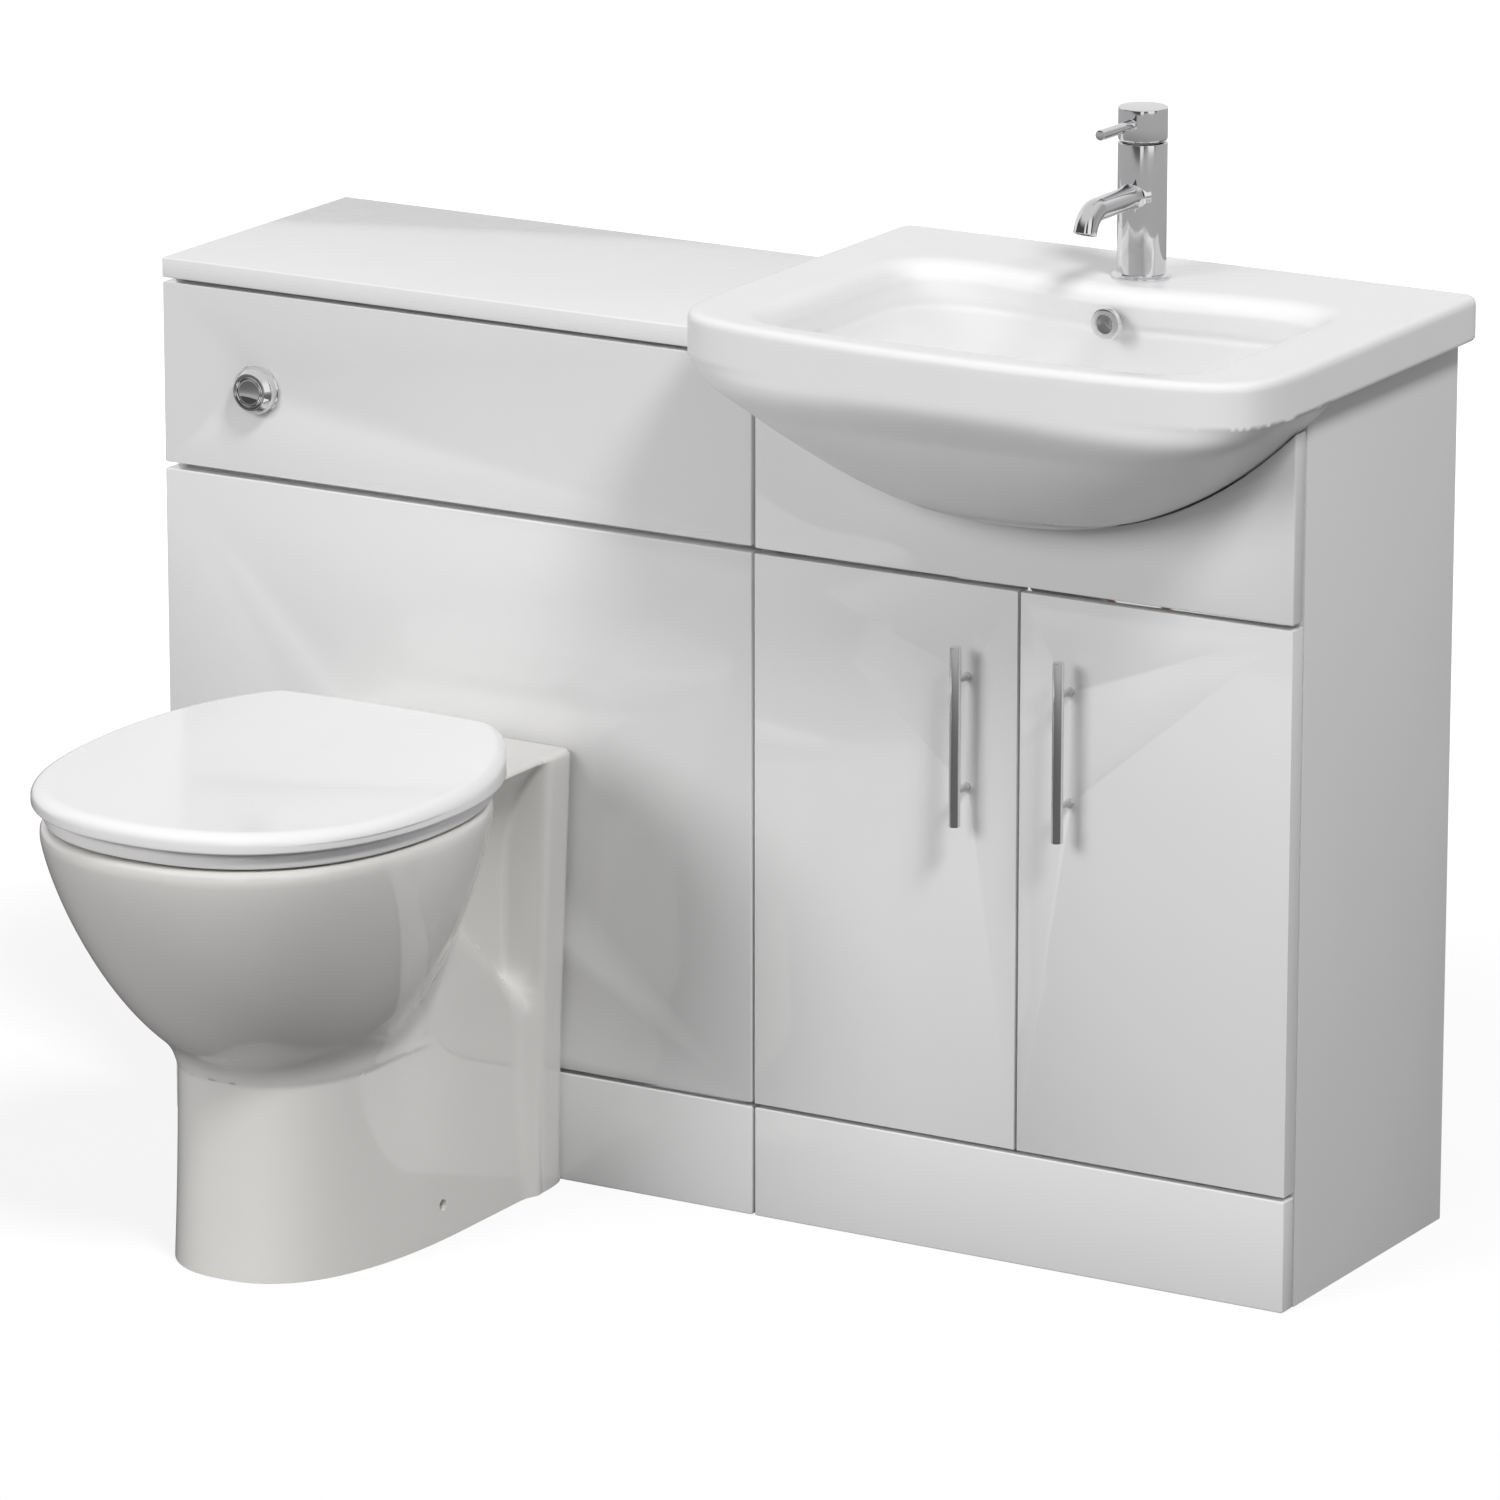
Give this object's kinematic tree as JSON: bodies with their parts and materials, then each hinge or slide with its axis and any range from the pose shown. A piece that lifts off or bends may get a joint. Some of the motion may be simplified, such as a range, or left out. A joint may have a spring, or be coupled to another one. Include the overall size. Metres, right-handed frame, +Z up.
{
  "type": "toilet and basin combination unit",
  "caption": "White gloss bathroom run: back-to-wall toilet with concealed cistern beside a two-door vanity with semi-recessed basin and lever tap.",
  "frame": {"origin": "middle of the bounding box's footprint, on the floor", "axes": "+X along the run from the toilet to the basin, +Y from the fronts back to the wall, +Z up"},
  "size_m": [1.135, 0.796, 0.964],
  "materials": {
    "carcass_board": "white melamine-faced board, satin",
    "gloss_front": "white high-gloss foil on board",
    "worktop": "white high-gloss laminate",
    "sanitary_ceramic": "white vitreous glaze",
    "seat_plastic": "white thermoset, polished",
    "chrome": "polished chrome plate",
    "nickel_steel": "nickel-plated pressed steel",
    "white_plastic": "moulded plastic, satin",
    "blue_plastic": "moulded plastic",
    "grey_plastic": "moulded plastic",
    "rubber": "soft rubber",
    "brass": "turned brass",
    "copper": "drawn copper tube"
  },
  "bodies": {
    "root": {"wc_side_left": "carcass_board", "wc_side_right": "carcass_board", "wc_front_rails": "carcass_board", "wc_rear_rail": "carcass_board", "wc_worktop": "worktop", "wc_flush_panel": "gloss_front", "wc_lower_panel": "gloss_front", "wc_plinth": "gloss_front", "cistern_tank": "white_plastic", "cistern_lid": "white_plastic", "fill_valve": "white_plastic", "flush_valve": "white_plastic", "flush_pipe": "white_plastic", "flush_pipe_seal": "rubber", "flush_bezel": "chrome", "flush_pump": "white_plastic", "flush_air_tube": "rubber", "pan": "sanitary_ceramic", "pan_connector": "grey_plastic", "pan_brackets": "nickel_steel", "pan_screws": "nickel_steel", "seat_hinge_posts": "chrome", "seat_fixings": "rubber", "vanity_side_left": "carcass_board", "vanity_side_right": "carcass_board", "vanity_base": "carcass_board", "vanity_front_rail": "carcass_board", "vanity_rear_rail": "carcass_board", "vanity_fascia": "gloss_front", "vanity_plinth": "gloss_front", "fixing_blocks": "white_plastic", "wall_brackets": "nickel_steel", "hinge_arms": "nickel_steel", "basin": "sanitary_ceramic", "overflow_ring": "chrome", "basin_waste": "chrome", "waste_nut": "grey_plastic", "bottle_trap": "white_plastic", "tap_body": "chrome", "tap_aerator": "grey_plastic", "tap_stud": "brass", "tap_tails": "copper"},
    "door_left": {"door_left": "gloss_front", "handle_left": "chrome", "hinge_cups_left": "nickel_steel"},
    "door_right": {"door_right": "gloss_front", "handle_right": "chrome", "hinge_cups_right": "nickel_steel"},
    "link_left": {"hinge_links_left": "nickel_steel"},
    "link_right": {"hinge_links_right": "nickel_steel"},
    "seat": {"seat": "seat_plastic", "seat_buffers": "white_plastic"},
    "lid": {"lid": "seat_plastic", "lid_buffers": "white_plastic"},
    "flush_button": {"flush_button": "chrome"},
    "flush_piston": {"flush_piston": "blue_plastic"},
    "float_cup": {"float_cup": "grey_plastic"},
    "waste_plug": {"waste_plug": "chrome"},
    "tap_cartridge": {"tap_cartridge": "grey_plastic"},
    "tap_lever": {"tap_lever": "chrome"}
  },
  "joints": [
    {"name": "door_left_hinge", "type": "hinge", "parent": "root", "child": "door_left", "pos_m": [0.034, 0.104, 0.345], "axis": [0, 0, -1], "range_deg": [0, 95]},
    {"name": "door_right_hinge", "type": "hinge", "parent": "root", "child": "door_right", "pos_m": [0.546, 0.104, 0.345], "axis": [0, 0, 1], "range_deg": [0, 95]},
    {"name": "link_left_turn", "type": "hinge", "parent": "root", "child": "link_left", "pos_m": [0.069, 0.112, 0.345], "axis": [0, 0, 1], "range_deg": [0, 65]},
    {"name": "link_right_turn", "type": "hinge", "parent": "root", "child": "link_right", "pos_m": [0.511, 0.112, 0.345], "axis": [0, 0, -1], "range_deg": [0, 65]},
    {"name": "seat_hinge", "type": "hinge", "parent": "root", "child": "seat", "pos_m": [-0.2675, -0.019, 0.4085], "axis": [-1, 0, 0], "range_deg": [0, 97]},
    {"name": "lid_hinge", "type": "hinge", "parent": "seat", "child": "lid", "pos_m": [-0.2675, -0.019, 0.4085], "axis": [1, 0, 0], "range_deg": [-97, 0]},
    {"name": "button_press", "type": "slide", "parent": "root", "child": "flush_button", "axis": [0, 1, 0], "range_m": [0, 0.007], "stiffness_N_per_m": 500, "springref_m": -0.006},
    {"name": "piston_lift", "type": "slide", "parent": "root", "child": "flush_piston", "axis": [0, 0, 1], "range_m": [0, 0.014]},
    {"name": "float_rise", "type": "slide", "parent": "root", "child": "float_cup", "axis": [0, 0, 1], "range_m": [0, 0.11]},
    {"name": "plug_press", "type": "slide", "parent": "root", "child": "waste_plug", "axis": [0, 0, -1], "range_m": [0, 0.008]},
    {"name": "tap_swivel", "type": "hinge", "parent": "root", "child": "tap_cartridge", "pos_m": [0.2895, 0.313, 0.9243], "axis": [0, 0, 1], "range_deg": [-45, 45]},
    {"name": "tap_lift", "type": "hinge", "parent": "tap_cartridge", "child": "tap_lever", "pos_m": [0.2895, 0.325, 0.939], "axis": [-1, 0, 0], "range_deg": [0, 12]}
  ],
  "couplings": [
    {"joint": "link_left_turn", "follows": "door_left_hinge", "ratio": 0.68},
    {"joint": "link_right_turn", "follows": "door_right_hinge", "ratio": 0.68},
    {"joint": "piston_lift", "follows": "button_press", "ratio": 2}
  ]
}
